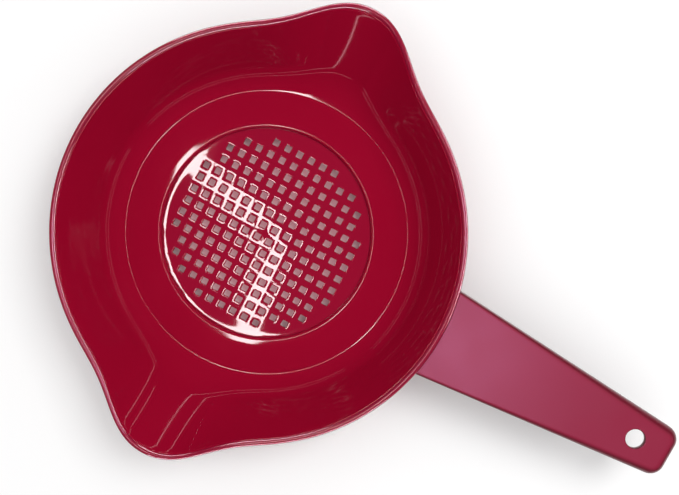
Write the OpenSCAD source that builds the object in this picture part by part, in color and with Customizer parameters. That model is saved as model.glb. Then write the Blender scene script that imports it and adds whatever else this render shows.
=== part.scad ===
// Hand colander: a shallow plastic bowl with two opposite pouring lips, a round
// strainer plate set into its floor, and a hollow handle pushed onto a tang.
// Millimetres. The bowl's axis is Z, the foot stands on z = 0, and the handle
// points along +X. The pouring lips point along +Y and -Y.

/* [Bowl] */
// Outer diameter of the round part of the rim
rim_d = 220; // [200:5:240]
// Height of the rim's crest above the resting surface
bowl_h = 45; // [42:1:50]
// Wall thickness
wall = 2.3; // [1.8:0.1:3]
// Radius of the curve from floor to wall
floor_fillet = 17.4; // [14:0.1:20]
// Slope of the wall away from vertical, in degrees
draft = 28; // [22:0.5:32]
// Slope of the floor round the plate, in degrees
floor_slope = 0; // [0:0.5:8]

/* [Rim] */
// Radius of the rolled bead round the outside of the rim
bead_r = 1.7; // [1.4:0.1:2]
// Width of the inner step beside the bead
step_w = 1.2; // [0.8:0.1:1.6]
// Height of the bead's crest above the inner step
step_h = 1.1; // [0.6:0.1:1.5]

/* [Pouring lips] */
// How far each lip reaches beyond the round rim
lip_reach = 20.3; // [10:0.1:25]
// Half width of a lip, as an angle about the bowl's axis
lip_angle = 15.4; // [12:0.2:20]
// Sharpness of the lip's shoulders
lip_power = 2.2; // [2:0.1:3]
// Gentle widening of the rim on each side of the lips
lip_swell = 1; // [0:0.1:2]
// How late the lip's trough opens on its way up the wall (below 1 it opens near the floor)
lip_rise = 0.85; // [0.7:0.05:1.4]

/* [Strainer plate] */
// Diameter of the plate
plate_d = 119; // [112:1:124]
// Thickness of the plate
plate_t = 2; // [1.5:0.1:3]
// Spacing of the square holes, centre to centre
hole_pitch = 7.4; // [7:0.1:7.5]
// Side of each square hole
hole_side = 3.7; // [3:0.1:4.2]
// Radius of the perforated field, in hole spacings
field_r = 7.25; // [5:0.05:7.25]

/* [Foot and seat] */
// Width of the ledge that carries the plate
ledge_w = 2.5; // [2:0.1:2.8]
// Height of the ledge above the resting surface
ledge_z = 5; // [4:0.5:6]
// Depth from the floor down to the top of the plate
recess = 2; // [1.5:0.1:2.5]
// Outer diameter of the foot ring
foot_d = 128; // [127:1:134]

/* [Handle] */
// Distance from the bowl's axis to the handle's end
handle_end = 244; // [210:1:260]
// Width of the handle where it leaves the rim
handle_root_w = 48.8; // [40:0.2:52]
// Width of the handle at its end
handle_end_w = 26.2; // [24:0.1:30]
// Radius of the two corners at the end
corner_r = 7.5; // [5:0.5:9]
// Thickness of the handle's top skin and side skirts
skin = 2.5; // [2:0.1:3]
// Depth of the side skirts at the rim
skirt_root = 15; // [13:1:20]
// Depth of the side skirts at the end
skirt_end = 9; // [8:1:12]
// Drop from the rim's crest to the handle's top
handle_drop = 1.8; // [1.5:0.1:2.2]

/* [Hanging hole] */
// Diameter of the hole
hang_d = 10; // [7:0.5:10]
// Distance from the hole's centre to the handle's end
hang_inset = 21; // [16:1:24]
// Length of the hole through the skin and its collar
hang_l = 3; // [2.6:0.1:6]

/* [Tang] */
// Width of the tang on the bowl that carries the handle
tang_w = 26; // [20:1:28]
// Thickness of the tang
tang_t = 5; // [4:0.5:6]
// Distance from the bowl's axis to the tang's tip
tang_end = 142; // [130:1:150]

/* [Hidden] */
crimson = [0.60, 0.04, 0.17];
crimson_dark = [0.55, 0.03, 0.15];
crimson_satin = [0.64, 0.16, 0.28];
$fn = 96;

rim_r = rim_d / 2;
plate_r = plate_d / 2;
ledge_r = plate_r - ledge_w;
foot_r = foot_d / 2;
plate_top = ledge_z + plate_t;
floor_z = plate_top + recess;   // top of the floor at its inner edge
edge_gap = 0.8;                 // small step round the plate's recess
seat_top = floor_z - 0.6;       // top of the exact seat ring, under the floor
floor_r = plate_r + edge_gap;   // inner edge of the moulded floor

// Floor, curve and wall, worked out between the plate's recess and the rim
step_z = bowl_h - step_h;                  // top of the rim's inner step
inner_top_r = rim_r - 2 * bead_r - step_w + 0.6;
arc_rise = floor_fillet * (cos(floor_slope) - sin(draft));
arc_run = floor_fillet * (cos(draft) - sin(floor_slope));
wall_drop = step_z - floor_z + floor_r * tan(floor_slope) - arc_rise;
floor_end_r = (inner_top_r - arc_run - wall_drop * tan(draft)) / (1 - tan(floor_slope) * tan(draft));
floor_end_z = floor_z + (floor_end_r - floor_r) * tan(floor_slope);
arc_cr = floor_end_r - floor_fillet * sin(floor_slope);
arc_cz = floor_end_z + floor_fillet * cos(floor_slope);
arc_steps = 6;
wall_steps = 5;

// Points of one curve, from the floor's slope (0) to the wall's slope (1)
function arc_point(r, t) =
    let (a = floor_slope + t * (90 - draft - floor_slope))
    [arc_cr + r * sin(a), arc_cz - r * cos(a)];
function between(p, q, t) = [for (k = [0, 1]) p[k] + (q[k] - p[k]) * t];

// Inside of the bowl, from the floor's inner edge up to the rim
wall_foot_in = arc_point(floor_fillet, 1);
wall_head_in = [inner_top_r, step_z - 0.5];
inside = concat(
    [[floor_r, floor_z]],
    [for (i = [0:arc_steps]) arc_point(floor_fillet, i / arc_steps)],
    [for (i = [1:wall_steps]) between(wall_foot_in, wall_head_in, i / wall_steps)]
);

// Over the rim: the inner step, the groove beside it and the rolled bead
bead_cr = rim_r - bead_r;
bead_cz = bowl_h - bead_r;
rim_over = concat(
    [[inner_top_r + 0.5, step_z], [inner_top_r + step_w - 0.4, step_z - 0.25]],
    [for (a = [150:-30:-60]) [bead_cr + bead_r * cos(a), bead_cz + bead_r * sin(a)]]
);

// Outside of the bowl, from under the bead down to the floor's inner edge
wall_head_out = [inner_top_r - (2 * bead_r + 0.6) * tan(draft) + wall / cos(draft), step_z - 2 * bead_r - 0.6];
wall_foot_out = arc_point(floor_fillet + wall, 1);
outside = concat(
    [for (i = [0:wall_steps - 1]) between(wall_head_out, wall_foot_out, i / wall_steps)],
    [for (i = [0:arc_steps]) arc_point(floor_fillet + wall, 1 - i / arc_steps)],
    [[floor_r, floor_z - wall]]
);
section = concat(inside, rim_over, outside);

// A lip pushes the section outwards, most at the rim and not at all at the floor
turns = 80;
function lip_push(a) = lip_reach * exp(-pow(a / lip_angle, lip_power)) + lip_swell * pow(cos(a), 4);
function from_lip(a) = min(abs(a - 90), abs(a - 270));
function rise_share(z) = pow(max(0, min(1, (z - floor_end_z) / (step_z - floor_end_z))), lip_rise);
function skin_point(p, a) =
    let (r = p[0] + lip_push(from_lip(a)) * rise_share(p[1]))
    [r * cos(a), r * sin(a), p[1]];

handle_top = bowl_h - handle_drop;
under_skin = handle_top - skin;
hang_x = handle_end - hang_inset;
rib = 2;                        // thickness of the ribs that grip the tang
root_gap = 0.3;                 // shadow gap between handle and bowl
slot_gap = 0.2;                 // clearance round the tang where it enters the handle

// Radius of the middle of the wall at a given height
function wall_mid(z) = inner_top_r - (step_z - z) * tan(draft) + wall / 2;

// Bowl: wall, floor and rim as one skin swept round the axis
module bowl_skin() {
    n = len(section);
    points = [for (i = [0:turns - 1]) for (p = section) skin_point(p, i * 360 / turns)];
    faces = [
        for (i = [0:turns - 1]) for (j = [0:n - 1])
            let (a = i * n, b = ((i + 1) % turns) * n, k = (j + 1) % n)
            each [[a + j, b + j, b + k], [a + j, b + k, a + k]]
    ];
    polyhedron(points = points, faces = faces, convexity = 6);
}

// Ring under the floor: the foot, and the ledge that carries the plate
module seat_ring() {
    rotate_extrude() polygon([
        [ledge_r, ledge_z - 2],
        [plate_r + 1, ledge_z - 2],
        [foot_r - 2.4, 0],
        [foot_r, 0],
        [foot_r, seat_top],
        [plate_r, seat_top],
        [plate_r, ledge_z],
        [ledge_r, ledge_z]
    ]);
}

// Flat tongue on the bowl's wall, hidden inside the handle
module tang() {
    low = under_skin - tang_t;
    root = rim_r - 10;
    difference() {
        translate([root, -tang_w / 2, low]) cube([tang_end - root, tang_w, tang_t]);
        translate([0, 0, low - 1])
            cylinder(r1 = wall_mid(low - 1), r2 = wall_mid(under_skin + 1), h = tang_t + 2);
    }
}

module bowl() {
    color(crimson) union() {
        bowl_skin();
        seat_ring();
        tang();
    }
}

// Round plate with a square grid of square holes, none of them on the centre
module strainer_plate() {
    reach = floor(field_r) + 0.5;
    color(crimson_dark) translate([0, 0, ledge_z]) linear_extrude(plate_t) difference() {
        circle(r = plate_r);
        for (i = [-reach:reach]) for (j = [-reach:reach])
            if (norm([i, j]) <= field_r)
                translate([i, j] * hole_pitch) square(hole_side, center = true);
    }
}

// Plan of the handle, drawn in from its outer edge by inset
module handle_plan(inset, start) {
    taper = (handle_root_w - handle_end_w) / 2 / (handle_end - rim_r);
    r = max(corner_r - inset, 1);
    tip = handle_end - inset;
    function half(x) = handle_end_w / 2 + taper * (handle_end - x) - inset;
    tilt = atan(taper);
    cy = half(tip - r) - r / cos(tilt);
    arc = [for (a = [0:15:90]) [tip - r + r * sin(90 - a + a * tilt / 90), cy + r * cos(90 - a + a * tilt / 90)]];
    upper = concat([[start, half(start)]], [for (k = [len(arc) - 1:-1:0]) arc[k]]);
    polygon(concat(upper, [for (k = [len(upper) - 1:-1:0]) [upper[k][0], -upper[k][1]]]));
}

// Block whose lower face slopes from the root's skirt depth to the end's
module skirt_line() {
    span = handle_end - rim_r;
    fall = (skirt_root - skirt_end) / span;
    start = rim_r - 20;
    rotate([90, 0, 0]) translate([0, 0, -50]) linear_extrude(100) polygon([
        [start, handle_top + 1],
        [start, handle_top - skirt_root - fall * 20],
        [handle_end + 1, handle_top - skirt_end + fall],
        [handle_end + 1, handle_top + 1]
    ]);
}

// Space that the bowl takes, its sloping wall and its rolled bead, grown by a given amount
module bowl_space(grow) {
    low = handle_top - skirt_root - 8;
    head = inner_top_r + (wall + grow) / cos(draft);
    bead_low = bead_cz - bead_r - grow;
    translate([0, 0, low])
        cylinder(r1 = head - (step_z - low) * tan(draft), r2 = head, h = step_z - low);
    translate([0, 0, bead_low]) cylinder(r = rim_r + grow, h = bowl_h + 1 - bead_low);
}

// Wall that closes the handle's root against the bowl, with a slot for the tang
module root_wall() {
    low = handle_top - skirt_root - 6;
    difference() {
        intersection() {
            translate([0, 0, low]) linear_extrude(under_skin + 0.5 - low) handle_plan(0.5, rim_r - 18);
            bowl_space(root_gap + skin);
            skirt_line();
        }
        translate([rim_r - 20, -tang_w / 2 - slot_gap, under_skin - tang_t - slot_gap])
            cube([40, tang_w + 2 * slot_gap, tang_t + slot_gap]);
    }
}

module handle() {
    low = handle_top - skirt_root - 6;
    color(crimson_satin) difference() {
        union() {
            intersection() {
                difference() {
                    translate([0, 0, low]) linear_extrude(handle_top - low) handle_plan(0, rim_r - 18);
                    translate([0, 0, low - 1]) linear_extrude(under_skin - low + 1)
                        handle_plan(skin, rim_r - 19);
                }
                skirt_line();
            }
            root_wall();
            // Ribs each side of the tang, and one across its tip
            for (s = [-1, 1])
                translate([rim_r - 18, s * (tang_w + rib) / 2 - rib / 2, under_skin - tang_t - 2])
                    cube([tang_end - rim_r + 18 + rib, rib, tang_t + 2.5]);
            translate([tang_end, -tang_w / 2 - rib / 2, under_skin - tang_t - 2])
                cube([rib, tang_w + rib, tang_t + 2.5]);
            // Collar under the hanging hole
            translate([hang_x, 0, handle_top - hang_l]) cylinder(d = hang_d + 5, h = hang_l - 0.5);
        }
        translate([hang_x, 0, handle_top - hang_l - 1]) cylinder(d = hang_d, h = hang_l + 2);
        bowl_space(root_gap);
    }
}

bowl();
strainer_plate();
handle();
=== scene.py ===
"""Hand colander: crimson plastic bowl with two pouring lips, strainer plate and satin handle."""
import math

import bmesh
import bpy
from mathutils import Matrix, Vector


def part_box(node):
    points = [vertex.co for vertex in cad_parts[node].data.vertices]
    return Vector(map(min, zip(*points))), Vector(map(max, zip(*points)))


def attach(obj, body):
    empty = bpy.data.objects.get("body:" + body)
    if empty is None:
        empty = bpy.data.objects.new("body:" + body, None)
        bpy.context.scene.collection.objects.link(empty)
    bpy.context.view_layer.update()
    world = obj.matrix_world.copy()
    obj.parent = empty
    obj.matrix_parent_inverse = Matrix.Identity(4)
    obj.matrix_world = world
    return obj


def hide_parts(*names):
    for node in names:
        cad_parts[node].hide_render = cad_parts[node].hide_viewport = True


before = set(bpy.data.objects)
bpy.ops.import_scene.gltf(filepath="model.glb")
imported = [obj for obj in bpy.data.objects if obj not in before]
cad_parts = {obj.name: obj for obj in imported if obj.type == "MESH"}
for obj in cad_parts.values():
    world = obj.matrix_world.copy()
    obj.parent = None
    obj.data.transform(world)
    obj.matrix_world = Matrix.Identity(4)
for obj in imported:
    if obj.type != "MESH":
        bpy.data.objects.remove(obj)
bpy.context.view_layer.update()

MM = 0.001

# ---------------------------------------------------------------- sizes from the frame
bowl_low, bowl_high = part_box("bowl")
plate_low, plate_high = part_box("strainer_plate")
handle_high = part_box("handle")[1]

RIM_R = -bowl_low[0]                    # round part of the rim, outer radius
RIM_Z = bowl_high[2]                    # crest of the rim
TANG_END = bowl_high[0]
PLATE_R = plate_high[1]
LEDGE_Z = plate_low[2]
PLATE_T = plate_high[2] - plate_low[2]
HANDLE_TOP = handle_high[2]
HANDLE_END = handle_high[0]

# ---------------------------------------------------------------- sizes of the bowl
WALL = 2.3 * MM
DRAFT = math.radians(28)                # lean of the wall
FLOOR_FILLET = 17.4 * MM                # curve between floor and wall
INNER_FILLET = FLOOR_FILLET + 0.6 * MM  # the same curve on the inside, where it follows a tight toe
TOE_R = 1.6 * MM
TOE_TURN = 12                           # degrees of that curve that the toe takes up
RECESS = 2 * MM                         # depth of the plate's top below the floor
SEAT_EDGE = 1.6 * MM                    # round edge of that recess
LEDGE_W = 2.5 * MM
LEDGE_T = 2 * MM
LEDGE_EDGE = 0.4 * MM
BEAD_R = 1.7 * MM
STEP_W = 1.2 * MM                       # flat step inside the bead
STEP_H = 1.1 * MM
STEP_EDGE = 0.45 * MM
STEP_UNDER = 0.6 * MM                   # how much of the step is under the bead
FOOT_R = 64 * MM
FOOT_W = 2.4 * MM
FOOT_EDGE_OUT = 0.6 * MM
FOOT_EDGE_IN = 0.5 * MM
FOOT_FILLET = 1.2 * MM

LIP_REACH = 20.3 * MM                   # how far a lip stands out
LIP_ANGLE = math.radians(15.4)          # from a lip's middle to where 37 % of its reach is left
LIP_POWER = 2.2                         # above 2 the lip is blunter and its sides are steeper
LIP_RISE = 0.85                         # power with which the lip grows from floor to rim
LIP_SWELL = 1 * MM                      # slight widening of the whole bowl towards the lips

FLOOR_Z = LEDGE_Z + PLATE_T + RECESS
STEP_Z = RIM_Z - STEP_H
INNER_TOP_R = RIM_R - 2 * BEAD_R - STEP_W + STEP_UNDER
ARC_DROP = STEP_Z - FLOOR_Z - FLOOR_FILLET * (1 - math.sin(DRAFT))
ARC_R = INNER_TOP_R - FLOOR_FILLET * math.cos(DRAFT) - ARC_DROP * math.tan(DRAFT)
ARC_Z = FLOOR_Z + FLOOR_FILLET          # with ARC_R, the centre of the curve between floor and wall

# ---------------------------------------------------------------- sizes of the plate
HOLE_PITCH = 7.4 * MM
HOLE_SIDE = 3.7 * MM
HOLE_CORNER = 0.5 * MM
HOLE_EDGE = 0.22 * MM
HOLE_DIP = 0.020 * MM                   # the surface sinks a little towards each hole
FIELD_R = 7.25                          # in hole spacings
CELL_STEPS = 5                          # steps along a side of the square cell round each hole
CORNER_STEPS = CELL_STEPS - 1           # steps round a hole's corner: both outlines have 20 points
PLATE_EDGE = 0.3 * MM
PLATE_DISH = 0.12 * MM
TURN_UP = math.radians(5.1)             # slope of the plate's turned-up edge, where it is steepest
TURN_UP_W = 3.4 * MM                    # width of that edge
TURN_UP_BEND = 1.4 * MM                 # width of the bend where it starts
TURN_UP_AT = math.radians(230)          # where round the plate it is steepest

# ---------------------------------------------------------------- sizes of the handle
ROOT_W = 48.8 * MM
END_W = 26.2 * MM
CORNER_R = 7.5 * MM
SKIN = 2.5 * MM
SKIRT_ROOT = 15 * MM
SKIRT_END = 9 * MM
SKIRT_EDGE = 0.5 * MM
EDGE_ROUND_ROOT = 1.4 * MM
EDGE_ROUND_END = 5.0 * MM
EDGE_ROUND_POWER = 1.3
TOP_MARGIN = 0.5 * MM
INSIDE_EDGE = 1.2 * MM
HANG_R = 5 * MM
HANG_X = HANDLE_END - 21 * MM
HANG_L = 3 * MM
HANG_EDGE = 0.5 * MM
HANG_MARGIN = 0.4 * MM
COLLAR_W = 2.5 * MM
TANG_W = 26 * MM
TANG_T = 5 * MM
TANG_EDGE = 0.5 * MM
ROOT_GAP = 0.3 * MM
RIB_W = 2 * MM
RIB_EDGE = 0.3 * MM
RIB_DROP = 2 * MM                       # how far the ribs reach below the tang

TAPER = (ROOT_W - END_W) / 2 / (HANDLE_END - RIM_R)
TILT = math.atan(TAPER)
SKIN_UNDER = HANDLE_TOP - SKIN
BEAD_LOW = RIM_Z - 2 * BEAD_R - ROOT_GAP


# ---------------------------------------------------------------- mesh helpers
SHARP_FROM = math.radians(40)           # an edge that turns more than this stays sharp


def arc(cx, cz, r, start, end, steps):
    """Points on a circle from start to end, in degrees."""
    turn = [math.radians(start + (end - start) * k / steps) for k in range(steps + 1)]
    return [(cx + r * math.cos(a), cz + r * math.sin(a)) for a in turn]


def line(p, q, steps):
    """Points from p to q, without p."""
    return [tuple(p[k] + (q[k] - p[k]) * n / steps for k in range(len(p))) for n in range(1, steps + 1)]


def make_object(name, bm, material):
    """A smooth-shaded object from a bmesh, with one material."""
    bmesh.ops.remove_doubles(bm, verts=bm.verts, dist=1e-7)
    bmesh.ops.recalc_face_normals(bm, faces=bm.faces)
    mesh = bpy.data.meshes.new(name)
    bm.to_mesh(mesh)
    bm.free()
    mesh.shade_smooth()
    mesh.set_sharp_from_angle(angle=SHARP_FROM)
    mesh.materials.append(material)
    piece = bpy.data.objects.new(name, mesh)
    bpy.context.collection.objects.link(piece)
    return piece


def join_loops(bm, loops):
    """Quads between each closed loop and the next, all of the same length."""
    for loop_a, loop_b in zip(loops, loops[1:]):
        n = len(loop_a)
        for k in range(n):
            m = (k + 1) % n
            bm.faces.new((loop_a[k], loop_a[m], loop_b[m], loop_b[k]))


def loop_edges(bm, loop):
    """The edges round a closed loop, made where they don't exist."""
    found = []
    for k, v in enumerate(loop):
        w = loop[(k + 1) % len(loop)]
        found.append(bm.edges.get((v, w)) or bm.edges.new((v, w)))
    return found


def adopt(piece, node):
    """The piece stands for a CAD node, which it hides, and rides with the part."""
    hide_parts(node)
    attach(piece, "root")


# ---------------------------------------------------------------- materials
NOISE_RANGE = (0.3, 0.7)                # where nearly all values of a noise lie


def add_node(tree, kind, **values):
    """A new node with its inputs set. An underscore stands for the space in an input's name."""
    node = tree.nodes.new(kind)
    for name, value in values.items():
        node.inputs[name.replace("_", " ")].default_value = value
    return node


def plastic(name, colour, deep, roughness, grain, grain_depth, swirl):
    """Moulded plastic: slow colour drift, uneven gloss, a fine grain and slow swirls."""
    mat = bpy.data.materials.new(name)
    mat.use_nodes = True
    tree = mat.node_tree
    link = tree.links.new
    shader = tree.nodes["Principled BSDF"]
    shader.inputs["IOR"].default_value = 1.49
    where = add_node(tree, "ShaderNodeTexCoord")

    def noise(scale, detail):
        cloud = add_node(tree, "ShaderNodeTexNoise", Scale=scale, Detail=detail)
        link(where.outputs["Object"], cloud.inputs["Vector"])
        return cloud.outputs["Fac"]

    def bump(height, distance):
        relief = add_node(tree, "ShaderNodeBump", Strength=1, Distance=distance)
        link(height, relief.inputs["Height"])
        return relief

    ramp = add_node(tree, "ShaderNodeValToRGB")
    for stop, position, shade in zip(ramp.color_ramp.elements, NOISE_RANGE, (deep, colour)):
        stop.position = position
        stop.color = (*shade, 1)
    link(noise(scale=14, detail=3), ramp.inputs["Fac"])
    link(ramp.outputs["Color"], shader.inputs["Base Color"])

    gloss = add_node(tree, "ShaderNodeMapRange", From_Min=NOISE_RANGE[0], From_Max=NOISE_RANGE[1],
                     To_Min=roughness[0], To_Max=roughness[1])
    link(noise(scale=55, detail=4), gloss.inputs["Value"])
    link(gloss.outputs["Result"], shader.inputs["Roughness"])

    fine = bump(noise(scale=grain, detail=2), grain_depth)
    slow = bump(noise(scale=45, detail=0), swirl)
    link(fine.outputs["Normal"], slow.inputs["Normal"])
    link(slow.outputs["Normal"], shader.inputs["Normal"])
    return mat


def paint_edge_shade(mat, colour, roughness):
    """Painted shade: rounded edges and sides, whose normals turn away from straight up, get a darker base
    colour and their own roughness; the flat top keeps the paler satin colour.
    """
    tree = mat.node_tree
    link = tree.links.new
    shader = tree.nodes["Principled BSDF"]
    where = add_node(tree, "ShaderNodeTexCoord")
    split = add_node(tree, "ShaderNodeSeparateXYZ")
    link(where.outputs["Normal"], split.inputs["Vector"])
    flat = add_node(tree, "ShaderNodeMapRange", From_Min=0.88, From_Max=0.997)
    link(split.outputs["Z"], flat.inputs["Value"])
    for kind, at_edge, target in (("RGBA", (*colour, 1), "Base Color"), ("FLOAT", roughness, "Roughness")):
        mix = add_node(tree, "ShaderNodeMix")
        mix.data_type = kind
        mix.inputs["A"].default_value = at_edge
        link(shader.inputs[target].links[0].from_socket, mix.inputs["B"])
        link(flat.outputs["Result"], mix.inputs["Factor"])
        link(mix.outputs["Result"], shader.inputs[target])


GLOSS = plastic("crimson_gloss", colour=(0.275, 0.0022, 0.020), deep=(0.260, 0.0020, 0.018),
                roughness=(0.030, 0.055), grain=900, grain_depth=0.0006 * MM, swirl=0.02 * MM)
# The plate's base colour is a little pinker than the bowl's: painted sheen standing in for the ceiling
# mirrored in its flat face
PLATE_GLOSS = plastic("crimson_gloss_plate", colour=(0.270, 0.0045, 0.025), deep=(0.256, 0.0040, 0.023),
                      roughness=(0.020, 0.040), grain=900, grain_depth=0.0006 * MM, swirl=0.02 * MM)
# The rim's base colour is a little pinker than the bowl's, though it is the same plastic: painted sheen on
# the bead
RIM = plastic("crimson_rim", colour=(0.250, 0.0060, 0.030), deep=(0.236, 0.0054, 0.027),
              roughness=(0.11, 0.15), grain=2600, grain_depth=0.002 * MM, swirl=0.01 * MM)
SATIN = plastic("crimson_satin", colour=(0.252, 0.0100, 0.038), deep=(0.240, 0.0092, 0.035),
                roughness=(0.285, 0.335), grain=2600, grain_depth=0.008 * MM, swirl=0.02 * MM)
# Painted shade: a darker base colour on the satin's rounded edges and sides
paint_edge_shade(SATIN, colour=(0.125, 0.0025, 0.014), roughness=0.31)


# ---------------------------------------------------------------- bowl
def wall_out(z):
    """Radius of the wall's outside at a height below the bead."""
    return INNER_TOP_R + WALL / math.cos(DRAFT) - (STEP_Z - z) * math.tan(DRAFT)


def inside_section():
    """Radius and height along the inside, from the plate's seat up to the bead."""
    points = [(PLATE_R, LEDGE_Z)]
    points += arc(PLATE_R + SEAT_EDGE, FLOOR_Z - SEAT_EDGE, SEAT_EDGE, 180, 90, 8)
    toe, whole = math.radians(TOE_TURN), math.radians(90 - math.degrees(DRAFT))
    rise = TOE_R * (1 - math.cos(toe)) + INNER_FILLET * (math.cos(toe) - math.cos(whole))
    run = TOE_R * math.sin(toe) + INNER_FILLET * (math.sin(whole) - math.sin(toe))
    floor_end = INNER_TOP_R - (STEP_Z - FLOOR_Z - rise) * math.tan(DRAFT) - run
    points += line(points[-1], (floor_end, FLOOR_Z), 6)
    points += arc(floor_end, FLOOR_Z + TOE_R, TOE_R, -90, TOE_TURN - 90, 8)[1:]
    x, z = points[-1]
    cx, cz = x - INNER_FILLET * math.sin(toe), z + INNER_FILLET * math.cos(toe)
    points += arc(cx, cz, INNER_FILLET, TOE_TURN - 90, -math.degrees(DRAFT), 22)[1:]
    points += line(points[-1], (INNER_TOP_R - 0.1 * MM, STEP_Z - 0.6 * MM), 14)
    points += arc(INNER_TOP_R + STEP_EDGE, STEP_Z - STEP_EDGE, STEP_EDGE, 170, 70, 4)
    points += [(INNER_TOP_R + STEP_W - STEP_EDGE, STEP_Z - 0.3 * MM)]
    return points


def outside_section():
    """Radius and height along the outside, from under the bead down to the ledge below the plate."""
    low = STEP_Z - 2 * BEAD_R - 0.6 * MM
    points = [(RIM_R - 1.4 * BEAD_R, RIM_Z - 0.9 * BEAD_R), (RIM_R - BEAD_R, RIM_Z - BEAD_R),
              (RIM_R - 1.1 * BEAD_R, RIM_Z - 1.9 * BEAD_R), (wall_out(low) + 0.5 * MM, low + 0.6 * MM),
              (wall_out(low), low)]
    fillet = FLOOR_FILLET + WALL
    points += line(points[-1], (ARC_R + fillet * math.cos(DRAFT), ARC_Z - fillet * math.sin(DRAFT)), 12)
    points += arc(ARC_R, ARC_Z, fillet, -math.degrees(DRAFT), -90, 16)[1:]
    foot_top = FLOOR_Z - WALL + 0.7 * MM
    points += line(points[-1], (FOOT_R + FOOT_FILLET, foot_top), 3)
    points += arc(FOOT_R + FOOT_FILLET, foot_top - FOOT_FILLET, FOOT_FILLET, 90, 180, 3)[1:]
    points += arc(FOOT_R - FOOT_EDGE_OUT, FOOT_EDGE_OUT, FOOT_EDGE_OUT, 0, -90, 4)
    points += arc(FOOT_R - FOOT_W + FOOT_EDGE_IN, FOOT_EDGE_IN, FOOT_EDGE_IN, -90, -150, 3)
    points += [(PLATE_R + 1 * MM, LEDGE_Z - LEDGE_T)]
    ledge_r = PLATE_R - LEDGE_W + LEDGE_EDGE
    points += arc(ledge_r, LEDGE_Z - LEDGE_T + LEDGE_EDGE, LEDGE_EDGE, -90, -180, 3)
    points += arc(ledge_r, LEDGE_Z - LEDGE_EDGE, LEDGE_EDGE, 180, 90, 3)
    return points


def lip_push(angle, z):
    """How far the section moves outwards at an angle about the axis and a height."""
    off = min(abs(angle - math.pi / 2), abs(angle - 3 * math.pi / 2))
    push = LIP_REACH * math.exp(-((off / LIP_ANGLE) ** LIP_POWER)) + LIP_SWELL * math.cos(off) ** 4
    rise = min(max((z - FLOOR_Z) / (STEP_Z - FLOOR_Z), 0), 1) ** LIP_RISE
    return push * rise


def sweep(name, section, material):
    """A closed section swept round the bowl's axis and out along the lips."""
    turns = 360
    bm = bmesh.new()
    rings = []
    for k in range(turns):
        a = 2 * math.pi * k / turns
        ring = []
        for r, z in section:
            reach = r + lip_push(a, z)
            ring.append(bm.verts.new((reach * math.cos(a), reach * math.sin(a), z)))
        rings.append(ring)
    join_loops(bm, rings + rings[:1])
    adopt(make_object(name, bm, material), "bowl")


def make_bowl():
    sweep("bowl_moulding", inside_section() + outside_section(), GLOSS)
    sweep("rolled_rim", arc(RIM_R - BEAD_R, RIM_Z - BEAD_R, BEAD_R, 0, 360, 28)[:-1], RIM)


def make_block(name, low, high, round_r, material, lean=0.0):
    """A block with rounded edges, whose inner end can lean in towards the bowl as it goes down."""
    bm = bmesh.new()
    bmesh.ops.create_cube(bm, size=1)
    for v in bm.verts:
        inner_low = v.co.x < 0 and v.co.z < 0
        v.co = [low[k] + (high[k] - low[k]) * (v.co[k] + 0.5) for k in range(3)]
        if inner_low:
            v.co.x -= (high[2] - low[2]) * math.tan(lean)
    bmesh.ops.bevel(bm, geom=bm.edges, offset=round_r, segments=3, profile=0.5, affect="EDGES")
    return make_object(name, bm, material)


def make_tang():
    low = (wall_out(SKIN_UNDER) - WALL * 0.6, -TANG_W / 2, SKIN_UNDER - TANG_T)
    high = (TANG_END, TANG_W / 2, SKIN_UNDER)
    adopt(make_block("bowl_tang", low, high, TANG_EDGE, GLOSS, DRAFT), "bowl")


# ---------------------------------------------------------------- strainer plate
def plate_sag(x, y):
    """The plate is a very shallow dish, and a part of its edge turns up a little."""
    r = min(math.hypot(x, y), PLATE_R)
    slope = math.tan(TURN_UP) * (0.5 + 0.5 * math.cos(math.atan2(y, x) - TURN_UP_AT))
    out = min(max(r - PLATE_R + TURN_UP_W, 0), TURN_UP_W)
    gained = out - TURN_UP_BEND / 2 if out > TURN_UP_BEND else out * out / (2 * TURN_UP_BEND)
    whole = TURN_UP_W - TURN_UP_BEND / 2
    return -PLATE_DISH * (1 - (r / PLATE_R) ** 2) - slope * (whole - gained)


def hole_outline(grow):
    """A hole's outline with round corners, widened all round, from the middle of its lower right corner."""
    half, corner = HOLE_SIDE / 2 + grow, HOLE_CORNER + grow
    points = []
    for quarter in range(4):
        turn = math.radians(45 + 90 * quarter)
        off = (half - corner) * math.sqrt(2)
        points += arc(off * math.cos(turn), off * math.sin(turn), corner, 90 * quarter, 90 * quarter + 90,
                      CORNER_STEPS)
    first = 3 * CELL_STEPS + CORNER_STEPS // 2
    return points[first:] + points[:first]


def cell_outline():
    """The square cell round a hole, from its lower right corner."""
    half = HOLE_PITCH / 2
    corners = [(1, -1), (1, 1), (-1, 1), (-1, -1), (1, -1)]
    points = []
    for p, q in zip(corners, corners[1:]):
        points += [p] + line(p, q, CELL_STEPS)[:-1]
    return [(x * half, y * half) for x, y in points]


def field_cells():
    """Where the cells of the round field are, in hole spacings."""
    reach = int(FIELD_R) + 0.5
    places = [-reach + k for k in range(int(2 * reach) + 1)]
    return [(a, b) for a in places for b in places if math.hypot(a, b) <= FIELD_R]


def key_of(*place):
    """A place rounded to a micrometre, so that neighbouring cells find each other's points."""
    return tuple(round(p / MM, 3) for p in place)


def field_border(cells, cell):
    """The stair-stepped border of the field, in order round the centre."""
    border = {}
    for ci, cj in cells:
        for side, (dx, dy) in enumerate(((1, 0), (0, 1), (-1, 0), (0, -1))):
            if (ci + dx, cj + dy) in cells:
                continue
            for m in range(CELL_STEPS + 1):
                x, y = cell[(CELL_STEPS * side + m) % len(cell)]
                x, y = ci * HOLE_PITCH + x, cj * HOLE_PITCH + y
                border[key_of(x, y)] = (x, y)
    return sorted(border.values(), key=lambda p: math.atan2(p[1], p[0]))


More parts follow.
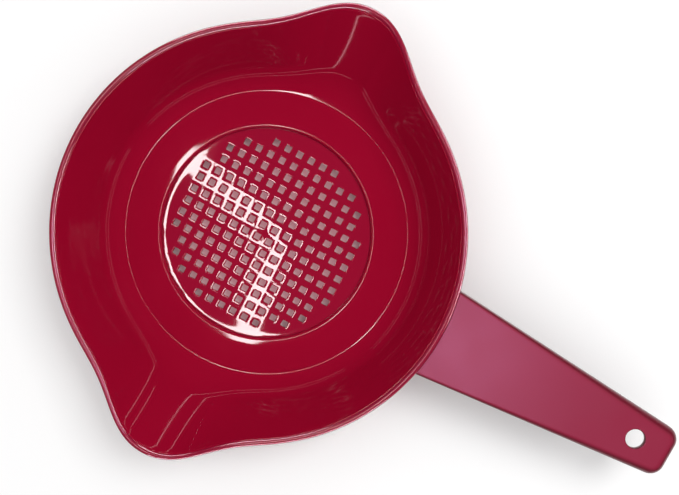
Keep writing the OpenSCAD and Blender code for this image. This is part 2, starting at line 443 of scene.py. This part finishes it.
def make_plate():
    bm = bmesh.new()
    top, low = LEDGE_Z + PLATE_T, LEDGE_Z
    shared = {}

    def own(points, z):
        """New vertices, at a height above the plate's sag."""
        return [bm.verts.new((x, y, z + plate_sag(x, y))) for x, y in points]

    def common(points, z):
        """Vertices that neighbouring cells and the border share."""
        for x, y in points:
            if key_of(x, y, z) not in shared:
                shared[key_of(x, y, z)] = own([(x, y)], z)[0]
        return [shared[key_of(x, y, z)] for x, y in points]

    # How much wider than the hole, and how high: from the dip round its mouth down to the underside
    edge = HOLE_EDGE
    levels = [(0.95 * MM, top), (0.4 * MM, top - HOLE_DIP), (edge, top - 1.6 * HOLE_DIP),
              (edge * 0.3, top - edge * 0.3), (0, top - edge),
              (0, low + edge), (edge, low), (0.6 * MM, low)]
    cells = field_cells()
    cell = cell_outline()
    for ci, cj in cells:
        cx, cy = ci * HOLE_PITCH, cj * HOLE_PITCH
        hole = [own([(cx + x, cy + y) for x, y in hole_outline(grow)], z) for grow, z in levels]
        join_loops(bm, hole)
        around = [(cx + x, cy + y) for x, y in cell]
        for mouth, z in ((hole[0], top), (hole[-1], low)):
            join_loops(bm, [common(around, z), mouth])

    stairs = field_border(cells, cell)
    angles = [math.atan2(y, x) for x, y in stairs]
    flat_r = PLATE_R - PLATE_EDGE

    def outwards(share):
        """The border's points, moved a share of the way out to the edge of the flat face."""
        return [(x + (flat_r * math.cos(a) - x) * share, y + (flat_r * math.sin(a) - y) * share)
                for (x, y), a in zip(stairs, angles)]

    def circle(r, z):
        return [bm.verts.new((r * math.cos(a), r * math.sin(a), z)) for a in angles]

    shares = [k / 8 for k in range(1, 9)]
    upper = [common(stairs, top)] + [own(outwards(s), top) for s in shares]
    lower = [common(stairs, low)] + [own(outwards(s), low) for s in shares]
    side = [circle(PLATE_R - PLATE_EDGE * 0.3, top - PLATE_EDGE * 0.3),
            circle(PLATE_R, top - PLATE_EDGE), circle(PLATE_R, low + PLATE_EDGE)]
    join_loops(bm, upper + side + lower[::-1])
    adopt(make_object("perforated_plate", bm, PLATE_GLOSS), "strainer_plate")


# ---------------------------------------------------------------- handle
def half_width(x):
    return END_W / 2 + TAPER * (HANDLE_END - x)


def along_handle(x):
    """0 at the rim, 1 at the end."""
    return min(max((x - RIM_R) / (HANDLE_END - RIM_R), 0), 1)


def edge_round(x):
    """Radius of the top's rounded edge, which grows towards the end."""
    return EDGE_ROUND_ROOT + (EDGE_ROUND_END - EDGE_ROUND_ROOT) * along_handle(x) ** EDGE_ROUND_POWER


def skirt_z(x):
    """Height of the skirt's lower edge."""
    return HANDLE_TOP - SKIRT_ROOT + (SKIRT_ROOT - SKIRT_END) * along_handle(x)


def root_at(z):
    """Radius about the bowl's axis where the handle starts, outside the bead or the wall."""
    return RIM_R + ROOT_GAP * 0.5 if z > BEAD_LOW else wall_out(z) + ROOT_GAP * 0.5


def at(size, x):
    """A size that is fixed, or that is worked out for a place along the handle."""
    return size(x) if callable(size) else size


def handle_outline(inset, root_r):
    """Closed plan outline, drawn in by an inset, with its root on a circle about the bowl's axis."""
    cx = HANDLE_END - CORNER_R
    cy = half_width(cx) - CORNER_R / math.cos(TILT)
    side_end = cx + CORNER_R * math.sin(TILT)
    root_x = math.sqrt(root_r ** 2 - half_width(root_r) ** 2)
    points = []
    steps = 44
    for k in range(steps):
        x = root_x + (side_end - root_x) * k / steps
        y = half_width(x) - at(inset, x)
        if k == 0:
            x = math.sqrt(root_r ** 2 - y ** 2)
        points.append((x, y))
    points += arc(cx, cy, CORNER_R - at(inset, HANDLE_END), 90 - math.degrees(TILT), 0, 10)
    tip = HANDLE_END - at(inset, HANDLE_END)
    points += line((tip, cy), (tip, 0), 6)
    points += [(x, -y) for x, y in points[-2::-1]]
    for x, y in line(points[-1], points[0], 20)[:-1]:
        points.append((math.sqrt(root_r ** 2 - y ** 2), y))
    return points


def shell_loops(bm):
    """Loops from the top face over the edge, down the skirt and up again to the skin's underside."""
    def loop(inset, height, root_r):
        return [bm.verts.new((x, y, at(height, x))) for x, y in handle_outline(inset, root_r)]

    def above_skirt(rise):
        return lambda x: skirt_z(x) + rise

    # A narrow flat margin keeps the shading of the top face even
    top_root = root_at(HANDLE_TOP)
    loops = [loop(lambda x: edge_round(x) + TOP_MARGIN, HANDLE_TOP, top_root + TOP_MARGIN)]
    for step in range(9):
        a = math.radians(90 - 90 * step / 8)
        inward, down = 1 - math.cos(a), 1 - math.sin(a)
        loops.append(loop(lambda x: edge_round(x) * inward, lambda x: HANDLE_TOP - edge_round(x) * down,
                          top_root))

    edge, nib = SKIRT_EDGE, SKIRT_EDGE * 0.3
    low_root = root_at(HANDLE_TOP - SKIRT_ROOT)
    low_inside = low_root + SKIN
    saddle = BEAD_LOW - SKIN
    inside_root = RIM_R + ROOT_GAP + SKIN
    for inset, height, root_r in (
            (0, lambda x: min(HANDLE_TOP - edge_round(x), BEAD_LOW), root_at(BEAD_LOW - MM)),
            (0, lambda x: (SKIN_UNDER + skirt_z(x)) / 2, root_at(HANDLE_TOP - SKIRT_ROOT / 2)),
            (0, above_skirt(edge), low_root),
            (nib, above_skirt(nib), low_root + nib),
            (edge, skirt_z, low_root + edge),
            (SKIN - edge, skirt_z, low_inside - edge),
            (SKIN - nib, above_skirt(nib), low_inside - nib),
            (SKIN, above_skirt(edge), low_inside),
            (SKIN, lambda x: max(skirt_z(x) + edge, saddle), root_at(saddle) + SKIN),
            (SKIN, lambda x: max(skirt_z(x) + edge, saddle) + 0.3 * MM, inside_root)):
        loops.append(loop(inset, height, root_r))

    for step in range(5):
        a = math.radians(90 * step / 4)
        inward, down = INSIDE_EDGE * (1 - math.cos(a)), INSIDE_EDGE * (1 - math.sin(a))
        loops.append(loop(lambda x: SKIN + inward + max(0, edge_round(x) - 2 * MM) * 0.5,
                          SKIN_UNDER - down, inside_root + inward))
    return loops


def hanging_hole_loops(bm):
    """Loops from the top face through the hole and up round its collar to the skin's underside."""
    segments = 64
    edge = HANG_EDGE
    collar_r = HANG_R + COLLAR_W
    low = HANDLE_TOP - HANG_L
    profile = [(HANG_R + edge + HANG_MARGIN, HANDLE_TOP), (HANG_R + edge, HANDLE_TOP),
               (HANG_R + edge * 0.45, HANDLE_TOP - edge * 0.12),
               (HANG_R + edge * 0.12, HANDLE_TOP - edge * 0.45),
               (HANG_R, HANDLE_TOP - edge),
               (HANG_R, low + edge), (HANG_R + edge * 0.3, low + edge * 0.3), (HANG_R + edge, low),
               (collar_r - edge, low), (collar_r - edge * 0.3, low + edge * 0.3), (collar_r, low + edge),
               (collar_r, SKIN_UNDER - edge), (collar_r + edge, SKIN_UNDER)]
    turns = [2 * math.pi * k / segments for k in range(segments)]
    return [[bm.verts.new((HANG_X + r * math.cos(a), r * math.sin(a), z)) for a in turns] for r, z in profile]


def make_handle():
    bm = bmesh.new()
    shell = shell_loops(bm)
    join_loops(bm, shell)
    hole = hanging_hole_loops(bm)
    join_loops(bm, hole)
    for border, inner in ((shell[0], hole[0]), (shell[-1], hole[-1])):
        bmesh.ops.triangle_fill(bm, use_beauty=True, edges=loop_edges(bm, border) + loop_edges(bm, inner))
    adopt(make_object("handle_shell", bm, SATIN), "handle")


def make_socket():
    """Ribs under the handle's skin that hold the tang."""
    side = TANG_W / 2
    top = SKIN_UNDER + 0.5 * MM
    low = SKIN_UNDER - TANG_T - RIB_DROP
    start = wall_out(top) + ROOT_GAP + SKIN * 0.8
    end = TANG_END + RIB_W
    for name, corner, far_corner, lean in (
            ("socket_rib_left", (start, side, low), (end, side + RIB_W, top), DRAFT),
            ("socket_rib_right", (start, -side - RIB_W, low), (end, -side, top), DRAFT),
            ("socket_end_rib", (TANG_END, -side - RIB_W / 2, low), (end, side + RIB_W / 2, top), 0)):
        adopt(make_block(name, corner, far_corner, RIB_EDGE, SATIN, lean), "handle")


# ---------------------------------------------------------------- stage, light and camera
VIEW_TURN = math.radians(28.16)         # the handle points down to the right in the view

TUBE_Z = 0.907
TUBE_W = 0.036
TUBE_GLOW = 22                          # power over pi times the area, in watts per square metre
PANEL_Z = 1.35
BAND_OUT = 1.6                          # from the bowl's axis
GLINT_OUT = 1.5
GLINT_Z = 0.4


def over(right, up, height):
    """A place above the bowl, given along the view's right and up directions."""
    c, s = math.cos(VIEW_TURN), math.sin(VIEW_TURN)
    return Vector((right * c - up * s, right * s + up * c, height))


def axes_turn(x_axis, y_axis, z_axis):
    """The rotation that lays an object's own axes along three directions."""
    return Matrix((x_axis, y_axis, z_axis)).transposed().to_euler()


def make_floor():
    bpy.ops.mesh.primitive_plane_add(size=6, location=(0, 0, 0))
    floor = bpy.context.object
    floor.name = "floor"
    mat = bpy.data.materials.new("pale_floor")
    mat.use_nodes = True
    shader = mat.node_tree.nodes["Principled BSDF"]
    shader.inputs["Base Color"].default_value = (0.86, 0.86, 0.86, 1)
    shader.inputs["Roughness"].default_value = 0.7
    shader.inputs["Specular IOR Level"].default_value = 0.2
    floor.data.materials.append(mat)


def new_lamp(name, size, power, tint=(1, 1, 1)):
    """A rectangular lamp, still to be put in its place."""
    lamp = bpy.data.lights.new(name, "AREA")
    lamp.shape = "RECTANGLE"
    lamp.size, lamp.size_y = size
    lamp.energy = power
    lamp.color = tint
    holder = bpy.data.objects.new(name, lamp)
    bpy.context.collection.objects.link(holder)
    return holder


def area_light(name, place, target, **looks):
    """A lamp in a place, turned towards a target."""
    holder = new_lamp(name, **looks)
    holder.location = place
    holder.rotation_euler = (target - place).to_track_quat("-Z", "Y").to_euler()
    return holder


def tube_light(name, start, end):
    """A thin lamp between two places, only there to be mirrored in the gloss."""
    along = end - start
    holder = new_lamp(name, (along.length, TUBE_W), TUBE_GLOW * math.pi * along.length * TUBE_W)
    holder.location = (start + end) / 2
    across = Vector((0, 0, 1)).cross(along).normalized()
    back = along.normalized().cross(across)
    holder.rotation_euler = axes_turn(along.normalized(), across, back)
    holder.visible_diffuse = False


def shine_only_on(holder, piece_name):
    """The lamp is mirrored by one piece and by nothing else."""
    only = bpy.data.collections.new(holder.name + "_on")
    only.objects.link(bpy.data.objects[piece_name])
    holder.light_linking.receiver_collection = only
    holder.visible_diffuse = False


def make_lights():
    aim = Vector((0, 0, RIM_Z / 2))
    # Soft light that shapes the object without being mirrored in the gloss
    key = area_light("key_softbox", over(0.76, 0.38, 1.2), aim, size=(0.62, 0.62), power=9.2)
    key.visible_glossy = False
    # Bent tube lamp that gives the chevron mirrored in the strainer plate
    start, bend, end = (Vector((x, y, TUBE_Z)) for x, y in
                        ((-0.258, -0.042), (-0.086, -0.099), (-0.0525, -0.2465)))
    tube_light("tube_upper", start, bend)
    tube_light("tube_lower", bend, end)
    # Panels above the grip: a lilac sheen on the satin, strongest at the root, and one on the rim
    sheen = area_light("sheen_panel", Vector((0.30, -0.14, PANEL_Z)), Vector((0.14, 0, RIM_Z)),
                       size=(0.22, 0.3), power=2.4, tint=(1, 0.55, 0.95))
    shine_only_on(sheen, "handle_shell")
    rim_sheen = area_light("rim_sheen", over(0.34, -0.02, PANEL_Z), over(0.1, 0, RIM_Z),
                           size=(0.24, 0.5), power=5.5, tint=(1, 0.55, 0.85))
    shine_only_on(rim_sheen, "rolled_rim")
    # Two square frames of thin low strips, and wider panels that only the rim mirrors
    for name, turn in (("right", 0), ("top", 90), ("left", 180), ("bottom", 270)):
        a = math.radians(turn) + VIEW_TURN
        out = Vector((math.cos(a), math.sin(a), 0))
        for level, height in (("low", 0.5), ("high", 0.8)):
            band = area_light("band_%s_%s" % (level, name), out * BAND_OUT + Vector((0, 0, height)), aim,
                              size=(2.6, 0.012), power=0.62, tint=(1, 0.66, 0.76))
            band.visible_diffuse = False
        if name != "left":
            glint = area_light("rim_glint_" + name, out * GLINT_OUT + Vector((0, 0, GLINT_Z)), aim,
                               size=(1.8, 0.25), power=60, tint=(1, 0.78, 0.9))
            shine_only_on(glint, "rolled_rim")
    # Red light that comes through the thin plastic on to the surface under the plate
    glow = area_light("glow_under_plate", Vector((0, 0, LEDGE_Z * 0.9)), Vector((0, 0, 0)),
                      size=(0.105, 0.105), power=0.006, tint=(1, 0.3, 0.4))
    glow.data.shape = "DISK"
    glow.visible_glossy = False


def make_world():
    """Even light from above that fades towards the horizon and isn't mirrored in the gloss."""
    world = bpy.data.worlds.new("studio")
    world.use_nodes = True
    tree = world.node_tree
    link = tree.links.new
    background = tree.nodes["Background"]
    background.inputs["Color"].default_value = (1, 1, 1, 1)
    where = add_node(tree, "ShaderNodeTexCoord")
    split = add_node(tree, "ShaderNodeSeparateXYZ")
    fade = add_node(tree, "ShaderNodeMapRange", To_Min=0.26, To_Max=1.24)
    link(where.outputs["Generated"], split.inputs["Vector"])
    link(split.outputs["Z"], fade.inputs["Value"])
    link(fade.outputs["Result"], background.inputs["Strength"])
    world.cycles_visibility.glossy = False
    bpy.context.scene.world = world


def make_camera():
    camera = bpy.data.cameras.new("camera")
    camera.sensor_width = 36
    camera.lens = 42.6
    nudge = over(-0.0005, 0.0002, 0)        # last small shift of the view on to the photo
    place = Vector((0.04896, 0.04483, RIM_Z + 0.41483)) + nudge
    aim = Vector((0.04179, 0.01546, RIM_Z)) + nudge
    look = (aim - place).normalized()
    right = Vector((math.cos(VIEW_TURN), math.sin(VIEW_TURN), 0))
    right = (right - look * right.dot(look)).normalized()
    holder = bpy.data.objects.new("camera", camera)
    holder.location = place
    holder.rotation_euler = axes_turn(right, right.cross(look), -look)
    bpy.context.collection.objects.link(holder)
    bpy.context.scene.camera = holder


make_bowl()
make_tang()
make_plate()
make_handle()
make_socket()
make_floor()
make_lights()
make_world()
make_camera()
bpy.context.scene.view_settings.view_transform = "Standard"
